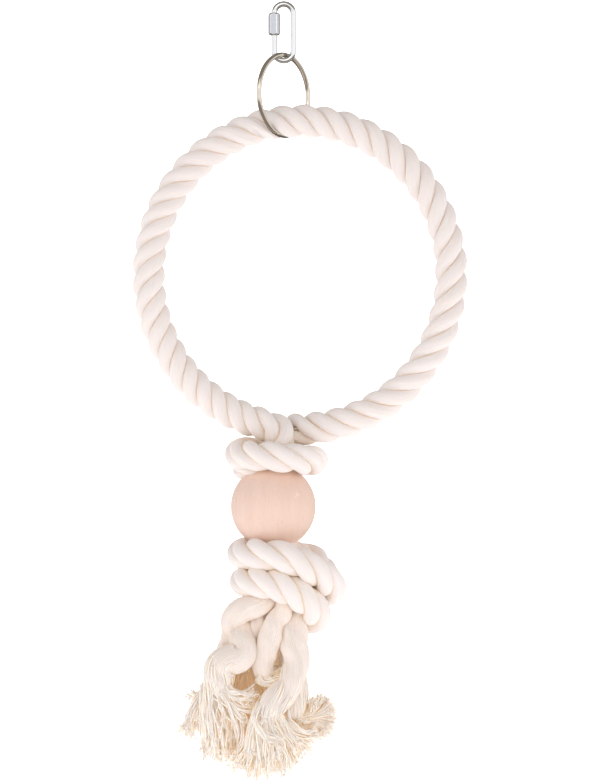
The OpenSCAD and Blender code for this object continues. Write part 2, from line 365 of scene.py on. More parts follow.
world = bpy.data.worlds.new("studio")
scene.world = world
world.use_nodes = True
wt = world.node_tree
bg = wt.nodes["Background"]
wg = wt.nodes.new("ShaderNodeTexCoord").outputs["Generated"]
sep = wt.nodes.new("ShaderNodeSeparateXYZ")
wt.links.new(wg, sep.inputs[0])
level = ramp(wt, math_node(wt, "ABSOLUTE", math_node(wt, "SUBTRACT", sep.outputs["Z"], 0.08)), [(0.22, (1.0, 1.0, 1.0)), (0.38, (0.25, 0.23, 0.205))])
toward = math_node(wt, "MULTIPLY_ADD", sep.outputs["Y"], -0.625, 0.375)
around = ramp(wt, toward, [(0.0, (0.48, 0.48, 0.49)), (0.22, (0.92, 0.92, 0.92)), (0.80, (1.10, 1.10, 1.10))])
dot = wt.nodes.new("ShaderNodeVectorMath")
dot.operation = "DOT_PRODUCT"
wt.links.new(wg, dot.inputs[0])
dot.inputs[1].default_value = (-0.274, -0.955, 0.108)
card = ramp(wt, dot.outputs["Value"], [(0.978, (0.0, 0.0, 0.0)), (0.990, (1.0, 1.0, 1.0))])
around = mix(wt, "MIX", card, around, (0.66, 0.695, 0.76))
wt.links.new(mix(wt, "MULTIPLY", 1.0, around, level), bg.inputs["Color"])
bg.inputs["Strength"].default_value = 1.06


def softbox(name, where, aim, size, power, mirrored=True):
    d = bpy.data.lights.new(name, "AREA")
    d.shape = "RECTANGLE"
    d.size, d.size_y = size
    d.energy = power
    o = bpy.data.objects.new(name, d)
    o.location = where
    o.visible_glossy = mirrored
    o.visible_camera = False
    v = np.array(aim, float) - np.array(where, float)
    o.rotation_euler = (math.atan2(math.hypot(v[0], v[1]), -v[2]), 0, math.atan2(v[1], v[0]) - math.pi / 2)
    scene.collection.objects.link(o)


softbox("key", (-0.50, -2.2, 1.05), (0, 0, -0.22), (1.5, 1.0), 4.5)
softbox("fill", (0.60, -2.3, -0.65), (0, 0, -0.28), (1.5, 1.0), 4.1, False)
softbox("left", (-1.3, -0.55, -0.1), (0, 0, -0.23), (1.6, 1.6), 4.2, False)
softbox("right", (1.3, -0.55, -0.2), (0, 0, -0.23), (1.6, 1.6), 4.2, False)
softbox("low", (0.0, -0.85, -1.15), (0, 0, -0.25), (1.6, 1.0), 3.3, False)
softbox("top", (0.1, -0.45, 1.3), (0, 0, -0.2), (1.5, 1.2), 4.3, False)
softbox("back", (0.0, 2.7, 1.9), (0, 3.6, -0.4), (3.0, 1.0), 20)

# ---------------------------------------------------------------- tails: six unlaid strands, free yarn bundles
TAIL_ROUTES = {
    1: [(-8.4, -3.7, -339), (-8.6, -4.8, -346), (-8.5, -7.5, -352.5), (-14.5, -10.5, -356.5), (-22, -10.5, -358), (-29.5, -8.5, -363.5),
        (-33.5, -5, -372.5), (-37.5, 0.5, -384), (-40, 2.5, -395.5), (-43.5, 2.5, -404), (-46, 2, -408.5)],
    2: [(-8.4, 3.7, -339), (-9, 4, -346), (-11.5, 3.5, -354), (-18, 1.5, -360.5), (-23.5, -2, -366), (-24, -8, -374),
        (-24.5, -12, -381), (-28.5, -13.5, -385), (-34, -13.5, -387), (-38, -12.5, -391.5), (-39.5, -11.5, -399), (-40.5, -10.5, -407)],
    3: [(-2, -7.4, -339), (-1.5, -8.2, -346), (0, -10, -352.5), (-1, -11.8, -357.5), (-5, -12.5, -365.5), (-9, -12.5, -375),
        (-11, -12, -383), (-12, -10.5, -390.5), (-10, -7, -395.5), (-5, -2.5, -397.5), (0, 2.5, -397.5), (3.5, 6, -401.5)],
    4: [(4.4, -3.7, -339), (6, -4.2, -346), (8, -5, -353.5), (8.2, -7.2, -360.5), (7.5, -10.5, -369), (7, -13.5, -379.5),
        (8, -15, -388.5), (5.5, -16, -397.5), (0, -17, -406.5), (-6.5, -17.5, -414), (-10.5, -17.5, -420.5)],
    5: [(4.4, 3.7, -339), (5.5, 4.5, -346), (7, 5, -354), (9, 2.5, -367.5), (8.5, -2, -379.5), (8, -3.5, -388.5),
        (8, -5, -397.5), (8, -7.5, -406.5), (6.5, -9.5, -415), (4.5, -10.5, -422)],
    6: [(-2, 7.4, -339), (-2.5, 9, -346), (-3.5, 10.5, -354), (-11.5, 10.5, -363), (-16.5, 8.5, -372), (-19, 7, -381.5),
        (-20.5, 7, -391), (-20.5, 7, -400.5)],
}
# the strand's radius at each point of its route
TAIL_WIDE = {
    1: [4.0, 4.6, 6.0, 7.4, 7.8, 7.3, 6.6, 6.2, 6.2, 6.0, 4.6],
    2: [4.0, 4.4, 5.2, 6.2, 6.8, 7.6, 8.8, 9.2, 9.4, 9.8, 9.6, 8.0],
    3: [4.0, 4.4, 5.4, 6.4, 7.3, 7.8, 7.2, 6.9, 6.7, 6.2, 5.4, 4.2],
    4: [4.0, 4.6, 5.2, 6.3, 7.9, 9.3, 8.0, 8.0, 8.4, 8.9, 8.6],
    5: [4.0, 4.4, 5.2, 6.2, 6.8, 6.8, 6.9, 7.2, 7.0, 5.8],
    6: [4.0, 4.4, 4.6, 4.8, 5.2, 6.2, 6.4, 5.0],
}
# where the soft strand bulges to one side of its route
TAIL_LEAN = {1: {3: (0.6, 0, 1.2), 4: (0.9, 0, 1.4), 5: (-0.4, 0.8, 0.4), 6: (2.8, 4.0, 0), 7: (3.4, 4.0, 0), 8: (2.4, 1.5, 0), 9: (0.8, 0, 0)},
             2: {3: (0, 2.0, 0), 4: (-2.4, 2.5, 0), 5: (-1.4, -0.5, -0.6), 6: (1.2, 0, -1.6), 7: (1.4, 0, -1.6), 8: (0.6, 0, -0.4), 9: (0.8, 0, 0), 10: (1.0, 0, 0), 11: (1.0, 0, 0)},
             3: {3: (1.2, 0, 0.5), 4: (0.6, 0, 0), 5: (0.9, 0, 0), 6: (0.6, 0, 0)},
             4: {4: (-0.6, 0, 0), 5: (-0.9, 0, 0), 9: (-0.8, 0, 0), 10: (-1.4, 0, 0)}, 5: {3: (-1.5, 0, 0), 4: (-3.2, 0, 0), 5: (-3.4, 0, 0), 6: (-1.4, 0, 0)},
             6: {2: (-1.5, -5, 0), 3: (-2.5, -14, 1), 4: (0.5, -15, 2), 5: (0, -9, 0), 6: (0, -3, 0)}}
YARNS, YARN_STEPS = 42, 4


def loose_yarns(lines, radii, sides, rng):
    """Many thin round yarns as one set of arrays: vertices, quads, end triangles, tone per vertex, and uv."""
    V, Q, T, tone, uv = [], [], [], [], []
    base = 0
    a = np.arange(sides) / sides * TAU
    for line, rad in zip(lines, radii):
        t = tangents(line)
        ref = np.array([0.31, 0.93, 0.2])
        e1 = unit(np.cross(t, ref))
        e2 = np.cross(t, e1)
        rows = len(line)
        v = line[:, None, :] + np.asarray(rad)[:, None, None] * (np.cos(a)[None, :, None] * e1[:, None, :] + np.sin(a)[None, :, None] * e2[:, None, :])
        V.append(v.reshape(-1, 3))
        V.append(line[:1])
        V.append(line[-1:])
        Q.append(grid_faces(rows, sides, base))
        T.append(caps(rows, sides, base, base + rows * sides, base + rows * sides + 1))
        k = rng.uniform(0, 1)
        tone.append(np.full(rows * sides + 2, k))
        s = np.concatenate([[0], np.cumsum(np.linalg.norm(np.diff(line, axis=0), axis=1))]) / 10
        i, j = np.meshgrid(np.arange(rows - 1), np.arange(sides), indexing="ij")
        off = rng.uniform(0, 40)
        one = np.stack([np.stack([j / sides * 1.5 + off, s[i]], -1), np.stack([(j + 1) / sides * 1.5 + off, s[i]], -1),
                        np.stack([(j + 1) / sides * 1.5 + off, s[i + 1]], -1), np.stack([j / sides * 1.5 + off, s[i + 1]], -1)], 2)
        uv.append(one.reshape(-1, 4, 2))
        base += rows * sides + 2
    return np.vstack(V), np.vstack(Q), np.vstack(T), np.concatenate(tone), np.vstack(uv)


def ridged(name, line, e1, e2, radius, yarns, per, deep, turn, rng, squeeze=None, painted_crease_shade=None, post=None, lump=0.0):
    """A strand: a closed tube whose skin is a lay of yarns. radius and deep are per row in mm; turn is how far the yarns have turned at each row; lump is how uneven the strand is."""
    cols = yarns * per
    rows = len(line)
    s = np.concatenate([[0], np.cumsum(np.linalg.norm(np.diff(line, axis=0), axis=1))])
    a = np.arange(cols) / cols * TAU
    rise = np.abs(np.sin(yarns * a / 2))
    own = rng.normal(0, 1, yarns)
    lift = np.repeat(own, per) * 0.22
    r = radius[:, None] - deep[:, None] * (1 - rise[None, :]) + deep[:, None] * lift[None, :] * np.where(rise > 0.1, 1, 0.3)[None, :]
    ang = a[None, :] + turn[:, None]
    if lump:
        for _ in range(7):
            m = rng.integers(1, 4)
            r = r + lump / 2.4 * rng.uniform(0.4, 1) * np.sin(m * a[None, :] + TAU * s[:, None] / rng.uniform(11, 34) + rng.uniform(0, TAU))
            ang = ang + 0.022 * rng.uniform(0.4, 1) * np.sin(rng.integers(2, 7) * a[None, :] + TAU * s[:, None] / rng.uniform(8, 22) + rng.uniform(0, TAU))
        patch = 0.5 + 0.5 * np.sin(3 * a[None, :] + TAU * s[:, None] / 23 + rng.uniform(0, TAU)) * np.sin(2 * a[None, :] - TAU * s[:, None] / 17)
        r = r - 0.7 * deep[:, None] * (1 - rise[None, :]) * (patch - 0.5)
    x, y = np.cos(ang), np.sin(ang)
    if squeeze is not None:
        y = y * squeeze[:, None]
    v = line[:, None, :] + r[:, :, None] * (x[:, :, None] * e1[:, None, :] + y[:, :, None] * e2[:, None, :])
    if post is not None:
        v = post(v)
    # painted shade in the depth attribute: from the caller's crease measure, and in the grooves between the yarns
    depth = np.zeros((rows, cols)) if painted_crease_shade is None else painted_crease_shade(v)
    depth = np.maximum(depth, (0.22 if lump else 0.34) * np.clip(deep / 0.35, 0, 1)[:, None] * (1 - rise[None, :]) ** 2)
    tone = np.repeat(np.clip(0.5 + 0.28 * own, 0, 1), per)[None, :].repeat(rows, 0)
    verts = np.vstack([v.reshape(-1, 3), v[0].mean(0)[None], v[-1].mean(0)[None]])
    ends = lambda z: np.concatenate([z.ravel(), [z[0].mean(), z[-1].mean()]])
    s = s / 10
    i, j = np.meshgrid(np.arange(rows - 1), np.arange(cols), indexing="ij")
    u0, u1 = j / per, (j + 1) / per
    uv = np.stack([np.stack([u0, s[i]], -1), np.stack([u1, s[i]], -1), np.stack([u1, s[i + 1]], -1), np.stack([u0, s[i + 1]], -1)], 2)
    return new_mesh(name, verts, grid_faces(rows, cols), caps(rows, cols, 0, rows * cols, rows * cols + 1), uv.reshape(-1, 4, 2),
                    {"depth": ends(depth), "tone": ends(tone)})


tails, tail_ends, strays, skins = {}, {}, {}, {}
for n, route in TAIL_ROUTES.items():
    rng = np.random.default_rng(100 + n)
    line, u, s = curve(route, 1.35)
    total = s[-1]
    lean = np.zeros((len(route), 3))
    for i, d in TAIL_LEAN.get(n, {}).items():
        lean[i] = d
    body = line + np.stack([np.interp(u, np.arange(len(route)), lean[:, i]) for i in range(3)], 1)
    body = curve(body[::3] if (len(body) - 1) % 3 == 0 else np.vstack([body[::3], body[-1:]]), 1.35)[0]
    k = np.linspace(0, 1, len(body))
    t, nn, bb = carry(body, np.array([0.2, -1.0, 0.1]))
    along = np.linspace(0, total, len(body))
    rad = np.interp(np.interp(along, s, u), np.arange(len(route)), TAIL_WIDE[n]) + wave(along, rng, 0.25, 26)
    deep = np.interp(k, [0, 0.35, 0.7, 1.0], [0.26, 0.32, 0.42, 0.54])
    turn = -0.045 * along + wave(along, rng, 0.12, 45)
    squeeze = 0.92 + wave(along, rng, 0.05, 50)
    ob = ridged(f"tail_yarn_{n}", body, nn, bb, rad, YARNS, YARN_STEPS, deep, turn, rng, squeeze, lump=0.75)
    ob.data.materials.append(YARN)
    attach(ob, "pendant")
    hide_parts(f"tail_{n}")
    tails[n] = (ob, body * MM, np.linalg.norm(np.diff(body, axis=0), axis=1).sum() * MM)
    tail_ends[n] = (body[-1], t[-1], nn[-1], bb[-1], rad[-1])
    skins[n] = (k, body, nn, bb, rad, turn)
    # yarns that have come loose and lie on the strand
    strays[n] = []
    for _ in range(5):
        k0 = rng.uniform(0.6, 0.85)
        k1 = min(1.0, k0 + rng.uniform(0.12, 0.4))
        g = np.linspace(k0, k1, 13)
        pick = lambda z: np.stack([np.interp(g, k, z[:, i]) for i in range(3)], 1)
        w = rng.uniform(0, TAU) + np.interp(g, k, turn) + rng.uniform(-0.7, 0.7) * (g - k0) / 0.3
        off = np.interp(g, k, rad) + 0.12 + 0.75 * np.sin(np.pi * (g - k0) / (k1 - k0)) * rng.uniform(0, 1) ** 2
        strays[n].append(pick(body) + off[:, None] * (np.cos(w)[:, None] * unit(pick(nn)) + 0.93 * np.sin(w)[:, None] * unit(pick(bb))))

# ---------------------------------------------------------------- frayed ends
# each lock of yarns: how many, the line it follows, how thick the lock is at its root and at its tips
LOCKS = {
    1: [(30, [at(208, 688, 2), at(199, 700, 0), at(192, 716, -1), at(186, 734, -1)], 2.6, 2.2),
        (34, [at(209, 687, 1), at(204, 702, -1), at(201, 717, -2), at(199, 729, -2)], 3.2, 3.4),
        (7, [at(206, 690, 2), at(199, 693, 1), at(193, 697, 1), at(188, 700, 1)], 1.5, 2.5)],
    2: [(84, [at(215, 682, -11), at(215, 704, -13), at(219, 730, -13), at(220, 758, -12)], 7.0, 7.6),
        (64, [at(220, 683, -12), at(228, 703, -15), at(235, 722, -14), at(238, 744, -11)], 5.2, 5.6),
        (50, [at(208, 684, -9), at(207, 705, -11), at(210, 728, -11), at(211, 754, -10)], 3.6, 4.2),
        (30, [at(221, 680, -15), at(232, 691, -18), at(243, 694, -18), at(255, 690, -16)], 4.2, 2.4),
        (30, [at(223, 684, -15), at(234, 697, -18), at(245, 702, -18), at(256, 702, -15)], 4.2, 3.0),
        (28, [at(224, 688, -15), at(233, 704, -17), at(242, 713, -16), at(248, 722, -13)], 4.2, 3.2)],
    3: [(70, [at(290, 678, 6), at(292, 700, 10), at(288, 722, 12), at(284, 744, 12)], 4.6, 7.5),
        (40, [at(291, 679, 4), at(296, 702, 4), at(297, 724, 3), at(296, 745, 1)], 3.5, 4.5),
        (30, [at(259, 676, -11), at(268, 681, -14), at(277, 676, -12), at(287, 667, -7)], 3.0, 3.2),
        (34, [at(277, 606, 1), at(275, 630, 3), at(281, 652, 3), at(290, 668, 2)], 3.0, 3.8),
        (26, [at(274, 606, 3), at(272, 632, 5), at(275, 656, 5), at(283, 674, 4)], 2.6, 3.4)],
    4: [(70, [at(265, 703, -17), at(257, 726, -20), at(254, 748, -20), at(250, 772, -17)], 4.6, 5.8),
        (70, [at(267, 704, -18), at(264, 729, -22), at(266, 752, -22), at(268, 774, -19)], 5.0, 6.4),
        (60, [at(268, 704, -18), at(274, 728, -22), at(282, 748, -21), at(288, 768, -17)], 4.6, 5.6),
        (48, [at(270, 703, -18), at(280, 724, -20), at(292, 740, -18), at(302, 757, -14)], 4.2, 5.0),
        (36, [at(264, 704, -17), at(253, 730, -18), at(243, 751, -16), at(234, 766, -12)], 3.6, 3.6),
        (40, [at(271, 704, -18), at(284, 726, -18), at(296, 738, -15), at(308, 746, -11)], 3.4, 4.0),
        (22, [at(262, 700, -20), at(256, 717, -25), at(266, 730, -27), at(285, 735, -24)], 2.4, 1.6),
        (56, [at(266, 708, -15), at(266, 733, -12), at(268, 752, -12), at(269, 768, -11)], 4.4, 6.0)],
    5: [(46, [at(291, 706, -11), at(293, 722, -14), at(304, 728, -15), at(318, 727, -13)], 4.4, 6.0),
        (34, [at(290, 708, -9), at(294, 726, -9), at(303, 734, -9), at(313, 736, -8)], 4.0, 4.0),
        (26, [at(294, 700, -9), at(301, 705, -8), at(307, 709, -6), at(313, 712, -6)], 2.6, 3.2)],
    6: [(70, [at(249, 674, 6), at(248, 695, 8), at(246, 718, 9), at(245, 746, 9)], 5.0, 5.6),
        (50, [at(251, 674, 5), at(259, 688, 4), at(268, 704, 5), at(270, 736, 7)], 4.0, 5.0),
        (36, [at(247, 674, 4), at(240, 690, 3), at(236, 712, 4), at(236, 738, 5)], 3.4, 3.6),
        (44, [at(244, 655, 3), at(238, 672, 3), at(234, 690, 3), at(234, 716, 4)], 4.0, 4.4),
        (40, [at(252, 660, 3), at(250, 676, 2), at(256, 692, 1), at(262, 712, 2)], 4.0, 4.6),
        (40, [at(256, 664, 2), at(262, 678, 0), at(267, 692, 0), at(268, 712, 2)], 4.0, 5.0),
        (46, [at(247, 698, 6), at(243, 724, 3), at(238, 745, 0), at(236, 762, -2)], 4.4, 5.0)],
}
BURST = {5: (420, at(319, 716, -7), (10.2, 10.6, 13.2))}
for n, locks in LOCKS.items():
    rng = np.random.default_rng(200 + n)
    end, way, e1, e2, wide = tail_ends[n]
    lines, radii = [], []
    kk = np.linspace(0, 1, 15)

    def yarn_end(line):
        """The yarn opens into a few fibres at its cut end."""
        for _ in range(4):
            fdir = unit((line[-1] - line[-4])[None])[0] + rng.normal(0, 0.36, 3)
            flen = rng.uniform(1.0, 3.0)
            f0 = line[-2] + rng.normal(0, 0.22, 3)
            q = np.linspace(0, 1, 4)[:, None]
            lines.append(f0 + fdir * flen * q + rng.normal(0, 0.5, 3) * q**2)
            radii.append(np.array([0.24, 0.22, 0.17, 0.07]))

    for count, guide, r0, r1 in locks:
        g, gu, gs = curve(guide, 1.0)
        t, n1, n2 = carry(g, np.array([0.2, -1.0, 0.3]))
        left = int(count * 1.35)
        while left > 0:
            # a few yarns lie together and wave together
            some = min(left, int(rng.integers(2, 5)))
            left -= some
            # some are broken off short and curl outward over the rest
            short = count > 40 and rng.uniform() < 0.30
            w, q = rng.uniform(0, TAU), rng.uniform(0.85, 1.15) if short else math.sqrt(rng.uniform(0.0, 1))
            bend, far = rng.normal(0, 0.8), rng.uniform(0.48, 0.84) if short else 1 - min(0.45, abs(rng.normal(0, 0.13)))
            sway, sway2 = unit(rng.normal(0, 1, (2, 3)))
            f1, f2, p1, p2 = rng.uniform(0.7, 1.5), rng.uniform(1.6, 3.2), *rng.uniform(0, TAU, 2)
            for i in range(some):
                k = kk * min(1.06, far + rng.normal(0, 0.035))
                pick = lambda z: np.stack([np.interp(np.minimum(k, 1) * gs[-1], gs, z[:, c]) for c in range(3)], 1)
                turn = w + bend * k
                size = q * (r0 + (r1 - r0) * k**1.3)
                line = pick(g) + size[:, None] * (np.cos(turn)[:, None] * unit(pick(n1)) + np.sin(turn)[:, None] * unit(pick(n2)))
                line = line + (2.5 * k**1.1 * np.sin(TAU * k * f1 + p1))[:, None] * sway + (1.4 * k * np.sin(TAU * k * f2 + p2))[:, None] * sway2 + (4.2 if short else 3.0) * ((k / far) ** 4)[:, None] * sway2
                tw, tq = rng.uniform(0, TAU) + rng.uniform(1.5, 6.0) * k, rng.uniform(0.3, 1.2) * (0.75 + 1.2 * k**3)
                line = line + (tq * np.cos(tw))[:, None] * unit(pick(n1)) + (tq * np.sin(tw))[:, None] * unit(pick(n2))
                lines.append(line)
                radii.append(rng.uniform(0.32, 0.54) * np.interp(kk, [0, 0.8, 1], [1.0, 0.97, 0.80]))
                yarn_end(line)
    # yarns that open out of the strand's skin before its end
    share = np.array([l[0] for l in locks if l[0] > 20], float)
    for i in range(int(16 + 4.2 * wide)):
        count, guide, r0, r1 = [l for l in locks if l[0] > 20][rng.choice(len(share), p=share / share.sum())]
        g, gu, gs = curve(guide, 1.0)
        t, n1, n2 = carry(g, np.array([0.2, -1.0, 0.3]))
        tk, body, nn, bb, rad, turns_ = skins[n]
        f = np.linspace(rng.uniform(0.72, 0.93), 0.985, 5)
        pick = lambda z, q=f, k=tk: np.stack([np.interp(q, k, z[:, c]) for c in range(3)], 1)
        w = rng.uniform(0, TAU) + np.interp(f, tk, turns_)
        outward = np.cos(w)[:, None] * unit(pick(nn)) + 0.93 * np.sin(w)[:, None] * unit(pick(bb))
        skin = pick(body) + (np.interp(f, tk, rad) + np.linspace(-0.2, 0.35, 5))[:, None] * outward
        q = np.array([0.42, 0.58, 0.72, 0.86, 1.0]) * (1 - min(0.3, abs(rng.normal(0, 0.07))))
        a1, a2 = pick(n1, q * gs[-1], gs), pick(n2, q * gs[-1], gs)
        o = outward[-1]
        w0 = math.atan2(o @ unit(a2)[0], o @ unit(a1)[0]) + rng.normal(0, 0.5)
        ends_ = pick(g, q * gs[-1], gs) + (rng.uniform(0.75, 1.1) * (r0 + (r1 - r0) * q**1.3))[:, None] * (math.cos(w0) * unit(a1) + math.sin(w0) * unit(a2)) + rng.normal(0, 0.5, (5, 3))
        line = curve(np.vstack([skin, ends_]), 2.2)[0]
        lines.append(line)
        radii.append(rng.uniform(0.36, 0.54) * np.interp(np.linspace(0, 1, len(line)), [0, 0.1, 0.85, 1], [0.6, 1, 0.97, 0.8]))
        yarn_end(line)
    if n in BURST:
        count, middle, size = BURST[n]
        middle, size = np.array(middle), np.array(size)
        out = unit((middle - end)[None])[0]
        for i in range(count):
            if i % 3 == 0:
                b = i // 3
                w = math.radians(rng.uniform(-125, 140) if b % 5 else rng.uniform(120, 260))
                bunch = unit(np.array([[math.cos(w), rng.uniform(-0.85, 0.75), math.sin(w)]]))[0]
                reach = rng.uniform(0.88, 1.05) if b % 5 else rng.uniform(0.45, 0.85)
                bent = rng.normal(0, 1.1, 3)
            q = math.sqrt(rng.uniform(0, 1)) * wide * 0.8
            w = rng.uniform(0, TAU)
            root = end + q * (math.cos(w) * e1 + 0.9 * math.sin(w) * e2) - way * rng.uniform(1.0, 4.0)
            d = unit((bunch + rng.normal(0, 0.12, 3))[None])[0]
            tip = middle + d * size * reach * rng.uniform(0.90, 1.04)
            p1 = root + (way * 0.55 + out * 0.45) * np.linalg.norm(middle - root) * rng.uniform(0.4, 0.75)
            p2 = middle - out * 2.0 + d * size * rng.uniform(0.0, 0.25) + bent + rng.normal(0, 0.5, 3)
            k = kk[:, None]
            line = (1 - k) ** 3 * root + 3 * (1 - k) ** 2 * k * p1 + 3 * (1 - k) * k**2 * p2 + k**3 * tip
            line = line + unit(rng.normal(0, 1, 3)[None])[0] * (0.7 * k * np.sin(TAU * k * rng.uniform(0.8, 2.4) + rng.uniform(0, TAU)))
            lines.append(line)
            radii.append(rng.uniform(0.34, 0.50) * np.interp(kk, [0, 0.8, 1], [1.0, 0.97, 0.85]))
            yarn_end(line)
    for line in strays[n]:
        lines.append(line)
        radii.append(rng.uniform(0.30, 0.46) * np.interp(np.linspace(0, 1, len(line)), [0, 0.1, 0.9, 1], [0.5, 1, 1, 0.5]))
    V, Q, T, tone, uv = loose_yarns(lines, radii, 5, rng)
    ob = new_mesh(f"frayed_end_{n}", V, Q, T, uv, {"depth": np.zeros(len(V)), "tone": tone})
    ob.data.materials.append(FRAY)
    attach(ob, "pendant")
    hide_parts(f"fringe_{n}")

# ---------------------------------------------------------------- laid rope
O_CENTRE, O_R, O_WIRE = np.array([0, 0, -52.55]), 24.0, 1.5
O_YAW = math.radians(52.8)
O_T, O_M = np.array([math.cos(O_YAW), math.sin(O_YAW), 0]), np.array([-math.sin(O_YAW), math.cos(O_YAW), 0])


def seat(v):
    """Presses the rope in where the O-ring's wire carries it."""
    d = v - O_CENTRE
    m = d @ O_M
    tt = d @ O_T
    z = d[..., 2]
    r = np.sqrt(tt**2 + z**2)
    most = O_R - 1.72 + 4.2 * (1 - np.exp(-(m / 2.3) ** 2))
    near = (z < 0) & (z > -40) & (np.abs(m) < 9) & (r > most)
    new = np.where(near, most + 0.07 * (r - most), r)
    k = np.where(near, new / np.maximum(r, 1e-6), 1.0)
    return O_CENTRE + d - (1 - k)[..., None] * (tt[..., None] * O_T + z[..., None] * np.array([0, 0, 1.0]))


def lay_rope(names, line, first, turns, env, mat, rng, post=None, yarns=20, per=4, flat=1.0, fat=0.452, spread=None, wobble=0.10, deep=0.14):
    """Three strands laid right-handed round a line. turns is the strands' turn in radians at each row, env the rope's outer radius, flat how much wider than deep a strand is."""
    t, nn, bb = carry(line, first)
    rows = len(line)
    step = np.linalg.norm(line[1] - line[0])
    s = np.arange(rows) * step
    wide = np.ones(rows) if spread is None else spread
    out = []
    for k in range(3):
        phi = turns + TAU * k / 3 + wave(s, rng, 0.05, 60)
        big = env * (1 - fat) * wide + wave(s, rng, wobble, 40)
        radial = np.cos(phi)[:, None] * nn + np.sin(phi)[:, None] * bb
        c = line + big[:, None] * radial
        st = tangents(c)
        e1 = unit(radial - (radial * st).sum(1, keepdims=True) * st)
        e2 = np.cross(st, e1)
        r = env * fat / wide + wave(s, rng, wobble * 0.8, 30)
        out.append((c, st, e1, e2, r))
    made = []
    for k in range(3):
        c, st, e1, e2, r = out[k]
        others = [out[(k + 1) % 3], out[(k + 2) % 3]]

        # painted shade: how close this strand's skin lies to the other two strands, for tan creases where strands meet
        def painted_crease_shade(v, others=others):
            best = np.full(v.shape[:2], 9.0)
            win = int(24 / step)
            for oc, ot, o1, o2, orad in others:
                for o in range(-win, win + 1):
                    i0, i1 = max(0, -o), min(rows, rows - o)
                    d = v[i0:i1] - oc[i0 + o:i1 + o, None, :]
                    x, y, z = ((d * w[i0 + o:i1 + o, None, :]).sum(2) for w in (o1, o2, ot))
                    gap = np.sqrt(x**2 + (y / flat) ** 2 + z**2) - orad[i0 + o:i1 + o, None]
                    best[i0:i1] = np.minimum(best[i0:i1], gap)
            return np.clip(1 - best / 0.75, 0, 1) ** 1.5

        turn = -0.075 * s + rng.uniform(0, TAU)
        ob = ridged(names[k], c, e1, e2, r, yarns, per, np.full(rows, deep), turn, rng, np.full(rows, flat), painted_crease_shade, post)
        ob.data.materials.append(mat)
        made.append(ob)
    return made


def turns_from(line, first, marks, lay):
    """The strands' turn along a line, so that a groove faces the viewer at each mark (a place in the 600 x 780 frame), with the given lay length elsewhere."""
    t, nn, bb = carry(line, first)
    step = np.linalg.norm(line[1] - line[0])
    s = np.arange(len(line)) * step
    view = np.array([0, -1.0, 0])
    face = np.arctan2(bb @ view, nn @ view)
    known = []
    for px, py in marks:
        d = np.linalg.norm((line - np.array(at(px, py)))[:, [0, 2]], axis=1) + np.where(line[:, 1] < 0, 0, 1e3)
        i = int(np.argmin(d))
        w = face[i] - TAU / 6
        if known:
            due = known[-1][1] + (s[i] - known[-1][0]) / lay * TAU
            w += round((due - w) / (TAU / 3)) * TAU / 3
        known.append((s[i], w))
    ks, kw = [k for k, _ in known], [w for _, w in known]
    turns = np.interp(s, ks, kw)
    turns = np.where(s < ks[0], kw[0] - (ks[0] - s) / lay * TAU, turns)
    turns = np.where(s > ks[-1], kw[-1] + (s - ks[-1]) / lay * TAU, turns)
    soft = np.hanning(13)
    pad = np.concatenate([2 * turns[0] - turns[6:0:-1], turns, 2 * turns[-1] - turns[-2:-8:-1]])
    return np.convolve(pad, soft / soft.sum(), "valid"), s


# the ring: both ends go down through the collar into the ball
RING_C = (9.64, -159.4)
RING_A, RING_B = 90.0, 91.6
GROOVES = [(-172, -23), (-151.5, -20), (-130, -17), (-107.5, -14), (-84.5, -11), (-61.5, -8), (-37, -5), (-13, -2), (3, 0), (27, 3), (52.5, 6), (78, 9), (103.5, 12), (130, 15), (147.5, 17), (171.5, 20), (179.5, 21)]
ring_deg = np.arange(-166, 178.1, 4.0)
left_neck = [(-6.2, -5.8, -302), (-6.2, -5.8, -288), (-5.2, -6.0, -277), (-3.0, -6.0, -269), (-1.8, -5.6, -262), (-1.8, -4.6, -256.2), (-4.2, -3.2, -251.8)]
right_neck = [(6.2, 7.9, -251.8), (1.4, 10.6, -253.2), (-2.4, 12.0, -257.4), (-4.4, 11.0, -263.6), (-5.4, 8.2, -271), (-6.2, 6.2, -281), (-6.4, 5.8, -292), (-6.4, 5.8, -302)]


def aside(a):
    """The two ends of the ring lie one before the other where they meet."""
    return -1.8 * np.clip((-a - 148) / 18, 0, 1) ** 2 + 5.4 * np.clip((a - 159) / 19, 0, 1) ** 2


ring_pts = [(RING_C[0] + RING_A * math.sin(math.radians(a)), float(aside(a)), RING_C[1] + RING_B * math.cos(math.radians(a))) for a in ring_deg]
line, u, s = curve(left_neck + ring_pts + right_neck, 1.6)
i0, i1 = len(left_neck), len(left_neck) + len(ring_pts) - 1
deg = np.interp(u, [i0, i1], [ring_deg[0], ring_deg[-1]])
g = np.arange(-180, 180.1, 0.5)
count = np.interp(g, [a for a, _ in GROOVES], [b for _, b in GROOVES])
soft = np.exp(-(np.arange(-20, 21) * 0.5 / 6.0) ** 2)
pad = np.concatenate([2 * count[0] - count[1:21][::-1], count, 2 * count[-1] - count[-21:-1][::-1]])
count = np.convolve(pad, soft / soft.sum(), "valid")
turns = np.radians(30) + np.interp(deg, g, count) * TAU / 3
inside = (u >= i0) & (u <= i1)
a, b = np.where(inside)[0][[0, -1]]
lead, trail = s[a] - s[:a], s[b + 1:] - s[b]
turns[:a] = turns[a] - lead / 44.0 * TAU
turns[b + 1:] = turns[b] + trail / 37.0 * TAU
env = np.full(len(s), 9.85)
env[:a] = 9.85 - np.clip((lead - 14) / 18, 0, 1) * 3.4
env[b + 1:] = 9.85 - np.clip((trail - 10) / 18, 0, 1) * 3.4
